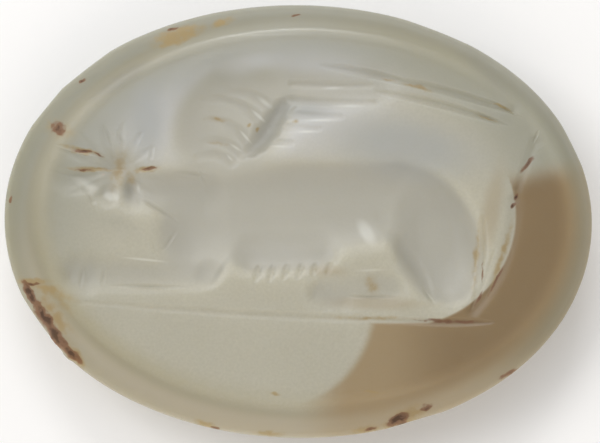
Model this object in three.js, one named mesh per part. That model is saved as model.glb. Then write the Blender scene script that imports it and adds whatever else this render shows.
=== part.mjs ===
// An oval ringstone of milky chalcedony with an intaglio device, in millimetres.
//
// The stone lies on its flat back, engraved face up: +Z runs out of the face, +X along the oval's
// length and +Y across it, towards the top of the device. The face is very slightly domed and has a
// bevelled edge. Below the girdle the sides draw in to the back, which a bezel would hold.
// The device is cut into the face: a winged, maned beast that lies on a ground line, looking left.
import * as THREE from "three";

// Driving dimensions of the stone
const stoneLength = 22;
const stoneWidth = 16.2;
const stoneThickness = 4.4; // from the back to the top of the dome
const faceDome = 0.22; // how far the face's middle stands over its edge
const bevelWidth = 1.15; // in plan, from the face's edge to the girdle
const bevelDrop = 0.8;
const bevelCrown = 0.07; // how far the bevel swells between its two edges
const faceShift = [0.3, 0.17]; // the face was ground a little off the middle of the oval
const girdleBand = 0.45; // the upright band at the widest line
const backInset = 1.5; // in plan, from the girdle to the edge of the back
const backEdge = 0.18; // the worn corner round the back
const sideCrown = 0.16; // how far the side swells between girdle and back
const outlineSquareness = 0.0042; // how much fuller than an ellipse the oval is between its axes

// Driving dimensions of the engraving
const fieldMargin = 0.4; // from the face's edge to the field that the drawing fills
const engravingDepth = 0.85; // of the deepest hollow
const polish = 0.16; // how softly one hollow runs into the next, as a share of the depth
const rimWear = 0.12; // how far the hollows' rims are worn round, likewise
const deviceTurn = 0.87; // degrees by which the device is turned on the stone

// The drawing's own units: it fills a field of 100 by 72, from the middle of the face.
const drawnLength = 100;
const drawnHeight = 72;

// Fineness of the faceted surface
const coarseCells = 18; // across the face before it is refined
const faceFacets = 7600; // on the engraved face once it is refined
const samplesPerSide = 5; // places tested along each side of a facet
const ringSteps = 3; // rings on the bevel and on the side

const degrees = Math.PI / 180;
const mix = (a, b, t) => a + (b - a) * t;

// The larger of two values, the step between them being rounded where they are close.
function roundedMax(a, b, round) {
  const overlap = Math.max(round - Math.abs(a - b), 0);
  return Math.max(a, b) + (overlap * overlap) / (4 * round);
}

// The worn flats in the girdle: where they lie round the oval and their half width, in degrees,
// and their depth.
const flats = [
  { at: 137, wide: 7, deep: 0.05 },
  { at: 149, wide: 6, deep: 0.04 },
  { at: 62, wide: 7, deep: 0.03 },
  { at: 22, wide: 6, deep: 0.03 },
  { at: -66, wide: 6, deep: 0.05 },
  { at: -150, wide: 9, deep: 0.06 },
];

function flatDepth(angle) {
  let depth = 0;
  for (const flat of flats) {
    const away = Math.abs(((angle / degrees - flat.at + 540) % 360) - 180) / flat.wide;
    if (away < 1) depth = Math.max(depth, flat.deep * (1 - away * away));
  }
  return depth;
}

// A point of an oval at an angle, the oval being the girdle drawn in by an inset.
function ovalPoint(angle, inset, worn = 0) {
  const swell = 1 + outlineSquareness * (1 - Math.cos(4 * angle));
  const bite = inset + worn * flatDepth(angle);
  const x = (stoneLength / 2 - bite) * Math.cos(angle) * swell;
  const y = (stoneWidth / 2 - bite) * Math.sin(angle) * swell;
  return [x, y];
}

// The upper surface before it was engraved, at a share of the way from the face's middle to its edge.
const faceHeight = (share) => stoneThickness - faceDome * share * share;

// A hollow ground with a rounded tool: at its middle, half its length and width, and its turn.
// Its section is a bowl, and a larger full makes it flatter below and steeper at the sides.
function hollow({ at, long, wide, turn = 0, deep, full = 1 }) {
  const c = Math.cos(turn * degrees);
  const s = Math.sin(turn * degrees);
  return (x, y) => {
    const dx = x - at[0];
    const dy = y - at[1];
    const q = ((dx * c + dy * s) / long) ** 2 + ((dy * c - dx * s) / wide) ** 2;
    return deep * (1 - q ** full);
  };
}

// A cut that follows a bowed line from one point to another, such as a limb, a feather or a line.
// Half its width and its depth run from the first value to the second. A pointed cut rises at its
// ends as a wheel's does, and any other keeps its depth and has round ends.
function cut({ from, to, bow = 0, wide, deep, full = 1, pointed = false }) {
  const steps = bow ? 8 : 1;
  const chord = [to[0] - from[0], to[1] - from[1]];
  const spine = Array.from({ length: steps + 1 }, (_, i) => {
    const t = i / steps;
    const lift = 4 * bow * t * (1 - t);
    return [from[0] + chord[0] * t - chord[1] * lift, from[1] + chord[1] * t + chord[0] * lift];
  });
  const reach = 2 * Math.max(...wide);
  const near = new THREE.Box2().setFromPoints(spine.map((point) => new THREE.Vector2(...point)));
  near.expandByScalar(reach);
  return (x, y) => {
    if (x < near.min.x || x > near.max.x || y < near.min.y || y > near.max.y) return -Infinity;
    let best = -Infinity;
    for (let i = 0; i < steps; i++) {
      const [ax, ay] = spine[i];
      const vx = spine[i + 1][0] - ax;
      const vy = spine[i + 1][1] - ay;
      const along = ((x - ax) * vx + (y - ay) * vy) / (vx * vx + vy * vy);
      const held = Math.min(1, Math.max(0, along));
      const t = (i + held) / steps;
      const rise = pointed ? Math.sqrt(4 * t * (1 - t)) : 1;
      const half = mix(wide[0], wide[1], t * t * (3 - 2 * t)) * Math.max(rise, 0.2);
      const q = ((x - ax - vx * held) ** 2 + (y - ay - vy * held) ** 2) / (half * half);
      const share = 1 - q ** full;
      best = Math.max(best, mix(deep[0], deep[1], t) * share * (share > 0 ? rise : 1));
    }
    return best;
  };
}

// The large forms of the beast. Depths are shares of the engraving's depth.
function bodyForms() {
  const trunk = cut({ from: [-14.2, 0.3], to: [18, 2.2], wide: [11.5, 10], deep: [0.66, 0.7], full: 1.7 });
  const flank = cut({ from: [-11.6, -8.6], to: [2.6, -8], wide: [3.4, 3], deep: [0.56, 0.5], full: 1.4 });
  const chest = hollow({ at: [-21.1, -1.1], long: 12.2, wide: 8.6, turn: 75, deep: 0.84, full: 1.3 });
  const neck = cut({ from: [-33, 5.9], to: [-20.1, 4.4], wide: [4.2, 6.6], deep: [0.36, 0.68] });
  const haunch = hollow({ at: [25.2, -4.4], long: 14.8, wide: 9.2, turn: -72, deep: 1, full: 1.5 });
  const hindFoot = cut({ from: [16.4, -14.2], to: [4.7, -15.2], wide: [3, 3.3], deep: [0.5, 0.42], full: 2 });
  const foreleg = cut({ from: [-22, -11.4], to: [-44, -11.6], wide: [2.9, 2.9], deep: [0.5, 0.42], full: 2 });
  const elbow = hollow({ at: [-20.5, -11], long: 3.4, wide: 2.9, turn: 60, deep: 0.68, full: 1.3 });
  return [trunk, flank, chest, neck, haunch, hindFoot, foreleg, elbow];
}

// The toes of a paw: hollows side by side, the deepest first.
function toeForms({ at, step, toes, long, wide, turn, deep }) {
  return Array.from({ length: toes }, (_, i) => {
    const middle = [at[0] + step[0] * i, at[1] + step[1] * i];
    return hollow({ at: middle, long, wide, turn, deep: deep * (1 - 0.1 * i) });
  });
}

// The head, seen from the front: its brow, the two cheeks and the locks that frame them.
function headForms() {
  const brow = hollow({ at: [-37.2, 9.8], long: 5, wide: 4.4, deep: 0.46 });
  const cheeks = [
    hollow({ at: [-38.9, 5.6], long: 3, wide: 2.5, turn: 90, deep: 0.66, full: 1.3 }),
    hollow({ at: [-34.1, 5.5], long: 3.7, wide: 2.4, turn: 90, deep: 0.7, full: 1.3 }),
  ];
  const locks = [
    hollow({ at: [-42.6, 7.8], long: 2.7, wide: 2.3, deep: 0.42, full: 1.3 }),
    hollow({ at: [-46, 7.8], long: 2.2, wide: 2, deep: 0.28 }),
  ];
  return [brow, ...cheeks, ...locks];
}

// The wing: its rounded leading part and the web that carries the feathers.
function wingForms() {
  const leadingPart = hollow({ at: [-14.8, 19.4], long: 13.2, wide: 11.4, turn: 40, deep: 0.44, full: 1.8 });
  const web = cut({ from: [-13.2, 24.8], to: [7.6, 26.6], wide: [7.4, 4.6], deep: [0.42, 0.3], full: 1.5 });
  return [leadingPart, web];
}

// The tail rises behind the haunch and thins towards the top right.
function tailForms() {
  const root = cut({ from: [32.6, -19], to: [40.7, 3.4], bow: -0.09, wide: [1.5, 1.5], deep: [0.44, 0.3] });
  const tip = cut({ from: [40.7, 3.4], to: [45.4, 16.4], bow: 0.02, wide: [1, 0.6], deep: [0.18, 0.1] });
  return [root, tip];
}

// Locks of the mane stand out all round the head, the longest to the left and above.
function maneLines() {
  const centre = [-36.8, 9];
  const count = 15;
  const inner = 2.6;
  return Array.from({ length: count }, (_, i) => {
    const angle = (i + 0.5) * (360 / count) * degrees;
    const [c, s] = [Math.cos(angle), Math.sin(angle)];
    const reach = 1 / Math.hypot(c / (c < 0 ? 12 : 8.6), s / (s < 0 ? 7.4 : 10.6));
    return cut({
      from: [centre[0] + inner * c, centre[1] + inner * s],
      to: [centre[0] + reach * c, centre[1] + reach * s],
      bow: 0.05,
      wide: [1.5, 1.1],
      deep: [0.26, 0.16],
      pointed: true,
    });
  });
}

// The wing's rib with its flights to the right, the top one longest, and its coverts to the left.
function featherLines() {
  const ribTop = [-4.1, 25.4];
  const ribFoot = [-11.2, 12];
  const rib = cut({ from: ribTop, to: ribFoot, bow: 0.05, wide: [2, 2.3], deep: [0.3, 0.3], pointed: true });
  const flights = Array.from({ length: 5 }, (_, i) => {
    const t = i / 4;
    const root = [mix(-2.6, -6.6, t), mix(27, 14.4, t)];
    const tip = [root[0] + mix(18.4, 6.4, t), root[1] - 0.2];
    return cut({ from: root, to: tip, bow: -0.03, wide: [1.2, 1.2], deep: [0.2, 0.18] });
  });
  const coverts = Array.from({ length: 5 }, (_, i) => {
    const t = i / 4;
    const tip = [mix(-8.2, -15.8, t), mix(24.6, 11.4, t)];
    const root = [tip[0] - mix(11, 7, t), tip[1] + mix(1.6, -0.8, t)];
    return cut({ from: root, to: tip, bow: 0.08, wide: [0.9, 1.5], deep: [0.1, 0.26] });
  });
  const longFlights = [
    { from: [2.4, 31], to: [25, 25.6] },
    { from: [14.6, 28.4], to: [42.4, 20.6] },
    { from: [13.6, 25.6], to: [39.4, 18.6] },
  ].map((line) => cut({ ...line, bow: 0.03, wide: [1.2, 1], deep: [0.2, 0.2], pointed: true }));
  return [rib, ...flights, ...coverts, ...longFlights];
}

// Short strokes hang from the belly in a row.
function bellyLines() {
  const count = 6;
  return Array.from({ length: count }, (_, i) => {
    const t = i / (count - 1);
    const top = [mix(-9.2, 4.8, t), mix(-9.8, -9.2, t)];
    const foot = [top[0] - 1, top[1] - mix(3.8, 3, t)];
    return cut({ from: top, to: foot, wide: [1.1, 0.8], deep: [0.32, 0.26], pointed: true });
  });
}

// The line that the beast lies on, ground deeper to the right, and the lines beside the tail.
function groundAndTailLines() {
  return [
    { from: [-49.6, -16.8], to: [37, -21.4], bow: -0.01, wide: [1.1, 1.3], deep: [0.18, 0.2] },
    { from: [14, -20.8], to: [37, -21.5], bow: -0.01, wide: [1.1, 1.3], deep: [0.3, 0.4] },
    { from: [34.4, 0.9], to: [32.2, -19.2], bow: 0.06, wide: [0.8, 0.9], deep: [0.2, 0.22] },
    { from: [36.8, -6.1], to: [32.6, -18.2], bow: 0.03, wide: [0.8, 0.8], deep: [0.16, 0.2] },
  ].map((line) => cut({ ...line, pointed: true }));
}

const forms = [
  ...bodyForms(),
  ...toeForms({ at: [-46.4, -11.6], step: [3.4, -0.2], toes: 2, long: 3.4, wide: 2, turn: 80, deep: 0.5 }),
  ...toeForms({ at: [2.2, -15.2], step: [2.4, -0.7], toes: 3, long: 2.4, wide: 1.6, turn: 70, deep: 0.5 }),
  ...headForms(),
  ...wingForms(),
  ...tailForms(),
];
const lines = [...maneLines(), ...featherLines(), ...bellyLines(), ...groundAndTailLines()];

// How deep the face is cut at a point, the drawing being stretched to the face's own field.
const fieldLength = stoneLength - 2 * (bevelWidth + fieldMargin);
const fieldWidth = stoneWidth - 2 * (bevelWidth + fieldMargin);

function cutDepth(x, y) {
  const c = Math.cos(deviceTurn * degrees);
  const s = Math.sin(deviceTurn * degrees);
  const u = ((x * c + y * s - faceShift[0]) / fieldLength) * drawnLength;
  const v = ((y * c - x * s - faceShift[1]) / fieldWidth) * drawnHeight;
  let body = -1;
  for (const form of forms) {
    body = roundedMax(body, Math.max(form(u, v), -1), polish);
  }
  let line = 0;
  for (const stroke of lines) line = Math.max(line, stroke(u, v));
  return engravingDepth * (roundedMax(body, 0, rimWear) + line);
}

// A square of parameters from -1 to 1 becomes the oval face, without a pole in its middle.
function facePoint(p, q) {
  const a = p * Math.sqrt(1 - (q * q) / 2);
  const b = q * Math.sqrt(1 - (p * p) / 2);
  const share = Math.hypot(a, b);
  const [x, y] = ovalPoint(Math.atan2(b, a), bevelWidth);
  const px = share * x + faceShift[0];
  const py = share * y + faceShift[1];
  return [px, py, faceHeight(share) - cutDepth(px, py)];
}

// Triangulates the face: coarse squares first, and then the triangles that stray most from the
// engraved surface are halved until there are enough. A triangle lists the corner at its right angle
// and then the ends of its long side, and the neighbour there is halved with it, so no gap opens.
function faceTriangles() {
  const parameters = [];
  const points = [];
  const owners = new Map();
  const triangles = new Map();

  const addVertex = (p, q) => {
    parameters.push([p, q]);
    return points.push(facePoint(p, q)) - 1;
  };
  const strayOf = (triangle) => {
    const [a, b, c] = triangle.map((i) => parameters[i]);
    const [pa, pb, pc] = triangle.map((i) => points[i]);
    let most = 0;
    for (let i = 0; i <= samplesPerSide; i++) {
      for (let j = 0; j <= samplesPerSide - i; j++) {
        const s = i / samplesPerSide;
        const t = j / samplesPerSide;
        const blend = (from, k) => from[0][k] * (1 - s - t) + from[1][k] * s + from[2][k] * t;
        const surface = facePoint(blend([a, b, c], 0), blend([a, b, c], 1));
        most = Math.max(most, Math.abs(surface[2] - blend([pa, pb, pc], 2)));
      }
    }
    return most * Math.hypot(pb[0] - pc[0], pb[1] - pc[1]);
  };
  const sideKey = (a, b) => `${a},${b}`;
  const sidesOf = ([a, b, c]) => [sideKey(a, b), sideKey(b, c), sideKey(c, a)];
  const add = (triangle) => {
    triangles.set(triangle, strayOf(triangle));
    for (const side of sidesOf(triangle)) owners.set(side, triangle);
  };
  const halve = (triangle, middle) => {
    const [corner, left, right] = triangle;
    triangles.delete(triangle);
    for (const side of sidesOf(triangle)) owners.delete(side);
    add([middle, corner, left]);
    add([middle, right, corner]);
  };
  const split = (triangle) => {
    const [, left, right] = triangle;
    let across = owners.get(sideKey(right, left));
    if (across && across[1] !== right) {
      split(across);
      across = owners.get(sideKey(right, left));
    }
    const [pa, qa] = parameters[left];
    const [pb, qb] = parameters[right];
    const middle = addVertex((pa + pb) / 2, (qa + qb) / 2);
    halve(triangle, middle);
    if (across) halve(across, middle);
  };

  const lattice = Array.from({ length: coarseCells + 1 }, (_, j) =>
    Array.from({ length: coarseCells + 1 }, (_, i) =>
      addVertex((2 * i) / coarseCells - 1, (2 * j) / coarseCells - 1),
    ),
  );
  for (let j = 0; j < coarseCells; j++) {
    for (let i = 0; i < coarseCells; i++) {
      const [sw, se] = [lattice[j][i], lattice[j][i + 1]];
      const [nw, ne] = [lattice[j + 1][i], lattice[j + 1][i + 1]];
      if ((i + j) % 2) {
        add([sw, se, nw]);
        add([ne, nw, se]);
      } else {
        add([se, ne, sw]);
        add([nw, sw, ne]);
      }
    }
  }
  while (triangles.size < faceFacets) {
    const wanted = Math.ceil((faceFacets - triangles.size) / 8);
    const worst = [...triangles].sort((m, n) => n[1] - m[1]).slice(0, wanted);
    for (const [triangle] of worst) if (triangles.has(triangle)) split(triangle);
  }

  // The sides with no neighbour are the face's rim, which is walked round once.
  const next = new Map();
  for (const side of owners.keys()) {
    const [a, b] = side.split(",").map(Number);
    if (!owners.has(sideKey(b, a))) next.set(a, b);
  }
  const rim = [lattice[0][0]];
  while (next.get(rim.at(-1)) !== rim[0]) rim.push(next.get(rim.at(-1)));
  return { points, parameters, triangles: [...triangles.keys()], rim };
}

// The rings below the face, from the bevel down to the back: each is an inset of the oval, a height,
// how much of the face's shift it keeps and how much of the worn flats it shows.
function sideRings() {
  const girdleTop = stoneThickness - faceDome - bevelDrop;
  const girdleFoot = girdleTop - girdleBand;
  const rings = [];
  for (let i = 1; i <= ringSteps; i++) {
    const t = i / ringSteps;
    const crown = 4 * bevelCrown * t * (1 - t);
    const height = stoneThickness - faceDome - bevelDrop * t + crown;
    rings.push({ inset: bevelWidth * (1 - t), height, shift: 1 - t, worn: t });
  }
  rings.push({ inset: 0, height: girdleFoot, shift: 0, worn: 1 });
  for (let i = 1; i <= ringSteps; i++) {
    const t = i / ringSteps;
    const crown = 4 * sideCrown * t * (1 - t);
    const inset = (backInset - backEdge) * t - crown;
    rings.push({ inset, height: mix(girdleFoot, backEdge, t), shift: 0, worn: 1 - t });
  }
  rings.push({ inset: backInset, height: 0, shift: 0, worn: 0 });
  return rings;
}

function gemGeometry() {
  const { points, parameters, triangles, rim } = faceTriangles();
  const indices = triangles.flat();
  const angles = rim.map((vertex) => {
    const [p, q] = parameters[vertex];
    return Math.atan2(q * Math.sqrt(1 - (p * p) / 2), p * Math.sqrt(1 - (q * q) / 2));
  });
  let upper = rim;
  for (const ring of sideRings()) {
    const lower = angles.map((angle) => {
      const [x, y] = ovalPoint(angle, ring.inset, ring.worn);
      return points.push([x + faceShift[0] * ring.shift, y + faceShift[1] * ring.shift, ring.height]) - 1;
    });
    upper.forEach((vertex, i) => {
      const j = (i + 1) % upper.length;
      indices.push(vertex, lower[i], upper[j], upper[j], lower[i], lower[j]);
    });
    upper = lower;
  }
  const backOutline = upper.map((vertex) => new THREE.Vector2(points[vertex][0], points[vertex][1]));
  for (const [a, b, c] of THREE.ShapeUtils.triangulateShape(backOutline, [])) {
    indices.push(upper[a], upper[c], upper[b]);
  }
  const geometry = new THREE.BufferGeometry();
  geometry.setAttribute("position", new THREE.Float32BufferAttribute(points.flat(), 3));
  geometry.setIndex(indices);
  geometry.computeVertexNormals();
  return geometry;
}

const chalcedony = new THREE.MeshStandardMaterial({ color: 0xb9b6a8, roughness: 0.22, metalness: 0 });
const gem = new THREE.Mesh(gemGeometry(), chalcedony);
gem.name = "gem";

const intaglioGem = new THREE.Group();
intaglioGem.add(gem);

export default intaglioGem;
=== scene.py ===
# The finish of an engraved ringstone: milky chalcedony, ground and wheel-cut, worn and stained.
import math

import bpy
import numpy as np
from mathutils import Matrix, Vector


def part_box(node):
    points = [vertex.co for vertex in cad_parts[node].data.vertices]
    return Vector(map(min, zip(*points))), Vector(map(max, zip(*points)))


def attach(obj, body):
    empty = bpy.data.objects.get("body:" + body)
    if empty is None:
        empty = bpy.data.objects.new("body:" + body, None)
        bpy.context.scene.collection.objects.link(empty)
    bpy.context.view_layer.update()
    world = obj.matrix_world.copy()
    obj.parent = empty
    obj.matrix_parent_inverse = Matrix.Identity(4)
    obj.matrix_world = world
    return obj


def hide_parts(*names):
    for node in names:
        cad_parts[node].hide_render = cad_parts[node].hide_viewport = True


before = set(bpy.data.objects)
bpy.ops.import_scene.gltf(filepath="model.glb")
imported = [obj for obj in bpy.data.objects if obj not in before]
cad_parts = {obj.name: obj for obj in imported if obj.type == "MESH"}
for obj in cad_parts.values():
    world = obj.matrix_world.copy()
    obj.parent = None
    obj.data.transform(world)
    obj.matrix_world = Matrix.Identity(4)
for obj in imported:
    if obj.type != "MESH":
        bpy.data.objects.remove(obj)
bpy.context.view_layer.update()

mm = 0.001
tau = 2 * math.pi
tiny = 1e-9                   # added to a length, and
leastShare = 1e-6             # to a share of the oval's radius, to keep a division off 0


# helpers

def roundedMax(a, b, rounding):
    # the larger of a and b, plus (rounding - |a - b|)^2 / (4 rounding) where they are closer than that
    overlap = np.maximum(rounding - np.abs(a - b), 0)
    return np.maximum(a, b) + overlap ** 2 / (4 * rounding)


def smoothStep(low, high, value):
    # t^2 (3 - 2t), where t runs from 0 at low to 1 at high
    t = np.clip((value - low) / (high - low), 0, 1)
    return t * t * (3 - 2 * t)


def cloudNoise(points, cellSize, seed):
    # random values on a cubic lattice, blended with t^2 (3 - 2t) between its corners; from -1 to 1
    cells, start = 32, 1000   # after how many it repeats, and how far into it the stone lies
    lattice = np.random.default_rng(seed).uniform(-1, 1, (cells, cells, cells))
    scaled = points / cellSize + start
    cell = np.floor(scaled).astype(int)
    t = scaled - cell
    t = t * t * (3 - 2 * t)
    total = 0
    for corner in np.ndindex(2, 2, 2):
        weight = np.prod(np.where(corner, t, 1 - t), axis=-1)
        i, j, k = ((cell + corner) % cells).transpose()
        total = total + weight * lattice[i, j, k]
    return total


def between(pair, t):
    # a (1 - t) + b t
    return pair[0] + (pair[1] - pair[0]) * t


def linearColour(hexCode):
    # sRGB hex to linear RGBA: c / 12.92 up to 0.04045, ((c + 0.055) / 1.055)^2.4 past it
    srgb = np.array([int(hexCode[i:i + 2], 16) / 255 for i in (0, 2, 4)])
    linear = np.where(srgb <= 0.04045, srgb / 12.92, ((srgb + 0.055) / 1.055) ** 2.4)
    return (*linear.tolist(), 1.0)


# the stone's own sizes, in mm

stone = {
    "faceDome": 0.22,
    "bevelWidth": 1.15,
    "bevelDrop": 0.8,
    "bevelCrown": 0.07,
    "faceShift": (0.3, 0.17),
    "girdleBand": 0.45,
    "backInset": 1.5,
    "backEdge": 0.18,
    "sideCrown": 0.16,
    "squareness": 0.0042,
    "cornerRound": 0.16,      # share of a side that the worn corner beside it takes
    "edgeRound": 0.05,        # share of the face that its worn edge takes
    "edgeCurve": 0.8,         # share of that strip that is curved
    "backCurve": 0.02,        # share of the flat back that its own edge takes
    "flats": [                # worn flats on the outline: direction and half width in degrees, depth
        (137, 7, 0.05), (149, 6, 0.04), (62, 7, 0.03), (22, 6, 0.03), (-66, 6, 0.05), (-150, 9, 0.06),
    ],
    "faceCells": 266,         # across the face's grid
    "rowCounts": (3, 0, 4, 0),  # rows of points inside the bevel, girdle, side and back edge
    "edgeSteps": (0, 0.25, 0.5, 0.75, 1),
    "cornerSteps": (0, 0.5, 1),
    "grindWave": 0.012,       # how far the hand-ground surfaces stray from true
    "grindMm": (2.6, 1.1),    # size of the coarse and the fine waves
    "grindFine": 0.5,         # height of the fine ones against the coarse
    "seed": 7,
}

lowCorner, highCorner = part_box("gem")
stoneLength, stoneWidth = ((highCorner - lowCorner) / mm)[:2]
stoneThickness = (highCorner.z - lowCorner.z) / mm


def flatDepth(angle):
    # each worn flat is a dip of depth (1 - d^2), d being the distance from its middle over its half
    # width, in degrees from -180 to 180
    depth = np.zeros_like(angle)
    for at, wide, deep in stone["flats"]:
        away = (((np.degrees(angle) - at + 540) % 360) - 180) / wide
        depth = np.maximum(depth, deep * (1 - away ** 2))
    return depth


def ovalPoint(angle, inset, worn=0):
    # ((L/2 - i) cos a, (W/2 - i) sin a), swelled by q (1 - cos 4a)
    swell = 1 + stone["squareness"] * (1 - np.cos(4 * angle))
    bite = inset + worn * flatDepth(angle)
    return (stoneLength / 2 - bite) * np.cos(angle) * swell, (stoneWidth / 2 - bite) * np.sin(angle) * swell


# the engraving, in the drawing's units: 100 by 72 fill the field inside the face's edge

engraving = {
    "fieldMargin": 0.4,
    "depth": 0.72,            # mm, of the deepest hollow
    "lineShare": 0.6,         # of that, for the lines cut into the hollows
    "polish": 0.35,           # how widely the hollows run into one another
    "rimWear": 0.34,          # and into the face
    "turn": 0.87,             # degrees
    "size": (100, 72),
    "uncut": -1.0,            # depth of a place that no tool touched
    "bowSteps": 8,            # straight parts of a bowed cut
    "leastHalf": 0.2,         # share of its width that a pointed cut keeps at its tips
    "farSquare": 9,           # squared distance, over the half width, past which a cut falls no further
    "lineDull": (2, -0.3),    # a line looks worked where 2 times its depth less 0.3 is over 0
}
fieldLength = stoneLength - 2 * (stone["bevelWidth"] + engraving["fieldMargin"])
fieldWidth = stoneWidth - 2 * (stone["bevelWidth"] + engraving["fieldMargin"])


def toDrawing(x, y):
    # turned by the device's angle about the stone's middle, moved to the face's middle, and scaled
    c, s = math.cos(math.radians(engraving["turn"])), math.sin(math.radians(engraving["turn"]))
    u = (x * c + y * s - stone["faceShift"][0]) / fieldLength * engraving["size"][0]
    v = (y * c - x * s - stone["faceShift"][1]) / fieldWidth * engraving["size"][1]
    return u, v


def hollow(u, v, at, long, wide, deep, turn=0, full=1):
    # deep (1 - q^full), where q is the squared distance in an ellipse turned by turn degrees
    c, s = math.cos(math.radians(turn)), math.sin(math.radians(turn))
    du, dv = u - at[0], v - at[1]
    q = ((du * c + dv * s) / long) ** 2 + ((dv * c - du * s) / wide) ** 2
    return deep * (1 - q ** full)


def cut(u, v, start, end, wide, deep, bow=0, full=1, pointed=False):
    # deep (1 - q^full) across a line that bows by 4 bow t (1 - t) of its chord; a pointed cut's width
    # and depth also go with sqrt(4 t (1 - t))
    steps = engraving["bowSteps"] if bow else 1
    t = np.linspace(0, 1, steps + 1)
    chord = np.subtract(end, start)
    lift = 4 * bow * t * (1 - t)
    spineU = start[0] + chord[0] * t - chord[1] * lift
    spineV = start[1] + chord[1] * t + chord[0] * lift
    best = np.full_like(u, engraving["uncut"])
    for i in range(steps):
        du, dv = spineU[i + 1] - spineU[i], spineV[i + 1] - spineV[i]
        held = np.clip(((u - spineU[i]) * du + (v - spineV[i]) * dv) / (du * du + dv * dv), 0, 1)
        along = (i + held) / steps
        rise = np.sqrt(4 * along * (1 - along)) if pointed else 1
        eased = along * along * (3 - 2 * along)
        half = between(wide, eased) * np.maximum(rise, engraving["leastHalf"])
        q = ((u - spineU[i] - du * held) ** 2 + (v - spineV[i] - dv * held) ** 2) / half ** 2
        share = 1 - np.minimum(q, engraving["farSquare"]) ** full
        depth = between(deep, along) * share
        best = np.maximum(best, np.where(share > 0, depth * rise, depth))
    return best


beast = {
    "trunk": dict(start=(-14.2, 0.6), end=(18, 3.2), wide=(11.2, 8.9), deep=(0.64, 0.66), full=1.4),
    "flank": dict(start=(-10.2, -6.6), end=(2, -6), wide=(5.2, 5), deep=(0.52, 0.44), full=1.4),
    "neck": dict(start=(-33, 5.9), end=(-20.1, 4.4), wide=(4.2, 6.6), deep=(0.36, 0.68)),
    "hindFoot": dict(start=(16.4, -14.2), end=(4.7, -15.2), wide=(3.1, 3.3), deep=(0.2, 0.15), full=1.3),
    "foreleg": dict(start=(-22, -11.4), end=(-44, -11.6), wide=(3, 3), deep=(0.22, 0.17), full=1.3),
    "web": dict(start=(-13.2, 24.8), end=(13, 26.6), wide=(7.4, 3.4), deep=(0.38, 0.14), full=1.3),
    "tailRoot": dict(start=(32.6, -19), end=(40.7, 3.4), bow=-0.09, wide=(1, 0.8), deep=(0.12, 0.06)),
    "tailTip": dict(start=(40.7, 3.4), end=(45.4, 16.4), bow=0.02, wide=(0.5, 0.4), deep=(0.03, 0.01)),
}
beastHollows = {
    "chest": dict(at=(-21.1, -1.1), long=12.2, wide=8.6, turn=75, deep=0.66, full=1.1),
    "haunch": dict(at=(25.2, -4.4), long=14.8, wide=9.2, turn=-72, deep=1, full=1.5),
    "elbow": dict(at=(-19.2, -10.8), long=3.4, wide=2.9, turn=60, deep=0.3, full=1.3),
    "brow": dict(at=(-37.2, 9.8), long=5, wide=4.4, deep=0.36),
    "cheekFront": dict(at=(-38.9, 5.6), long=3, wide=2.5, turn=90, deep=0.3, full=1.2),
    "cheekBack": dict(at=(-34.1, 5.5), long=3.7, wide=2.4, turn=90, deep=0.32, full=1.2),
    "lockNear": dict(at=(-42.6, 7.8), long=2.7, wide=2.3, deep=0.22, full=1.2),
    "lockFar": dict(at=(-46, 7.8), long=2.2, wide=2, deep=0.13),
    "leadingPart": dict(at=(-14.8, 19.4), long=13.2, wide=11.4, turn=40, deep=0.44, full=1.8),
}
paws = [                      # fade: share of the depth by which each next toe is shallower
    dict(at=(-46.4, -11.6), step=(3.4, -0.2), toes=2, long=3.4, wide=2, turn=80, deep=0.2, fade=0.1),
    dict(at=(2.2, -15.2), step=(2.4, -0.7), toes=3, long=2.4, wide=1.6, turn=70, deep=0.17, fade=0.1),
]
mane = {
    "centre": (-36.8, 9),
    "locks": 15,
    "inner": 2.6,
    "reachSide": (12, 8.6),   # to the left, to the right
    "reachUp": (7.4, 10.6),   # below, above
    "shape": dict(wide=(1.1, 0.8), deep=(0.07, 0.04), bow=0.05, pointed=True),
}
bellyHair = {
    "strokes": 6,
    "along": (-9.2, 4.8),     # place of the first and the last, and their upper ends' heights
    "height": (-9.8, -9.2),
    "long": (3.8, 3),
    "lean": 1,
    "shape": dict(wide=(0.9, 0.6), deep=(0.16, 0.12), pointed=True),
}
feathers = {
    "rib": dict(wide=(2.8, 2.8), deep=(0.36, 0.4), bow=0.05, pointed=True, lines=[
        ((-4.2, 24.4), (-12, 12.4)),
    ]),
    "coverts": dict(wide=(1, 1.4), deep=(0.03, 0.15), bow=0.14, lines=[
        ((-15.6, 25.2), (-7, 22.2)), ((-20.4, 24), (-8.8, 19.4)), ((-19, 19.8), (-11.2, 15)),
        ((-20.2, 15.4), (-12.8, 12.8)), ((-21.4, 12), (-14.6, 11.2)),
    ]),
    "flights": dict(wide=(1, 0.8), deep=(0.11, 0.08), bow=-0.01, lines=[
        ((-2.6, 27.2), (12.4, 26.9)), ((-3.4, 23.9), (13.6, 23.2)), ((-3.2, 20.9), (6.8, 20.4)),
        ((-4.4, 18.4), (2.4, 18)), ((-7.2, 15.3), (-3, 15)),
    ]),
    "strokes": dict(wide=(0.5, 0.6), deep=(0.08, 0.13), pointed=True, lines=[
        ((-10.8, 22), (-8, 19.3)), ((-13.2, 17.9), (-10.6, 14.8)), ((-15.2, 15.1), (-12.4, 13.2)),
        ((-15.6, 12.7), (-14.4, 11.4)), ((-8.8, 24), (-6.2, 22.4)), ((-1.6, 22.6), (-4.6, 19.8)),
    ]),
    "long": dict(wide=(1.1, 0.9), deep=(0.2, 0.2), bow=0.03, pointed=True, lines=[
        ((2.4, 31), (25, 25.6)), ((14.6, 28.4), (42.4, 20.6)), ((13.6, 25.6), (39.4, 18.6)),
    ]),
}
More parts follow.
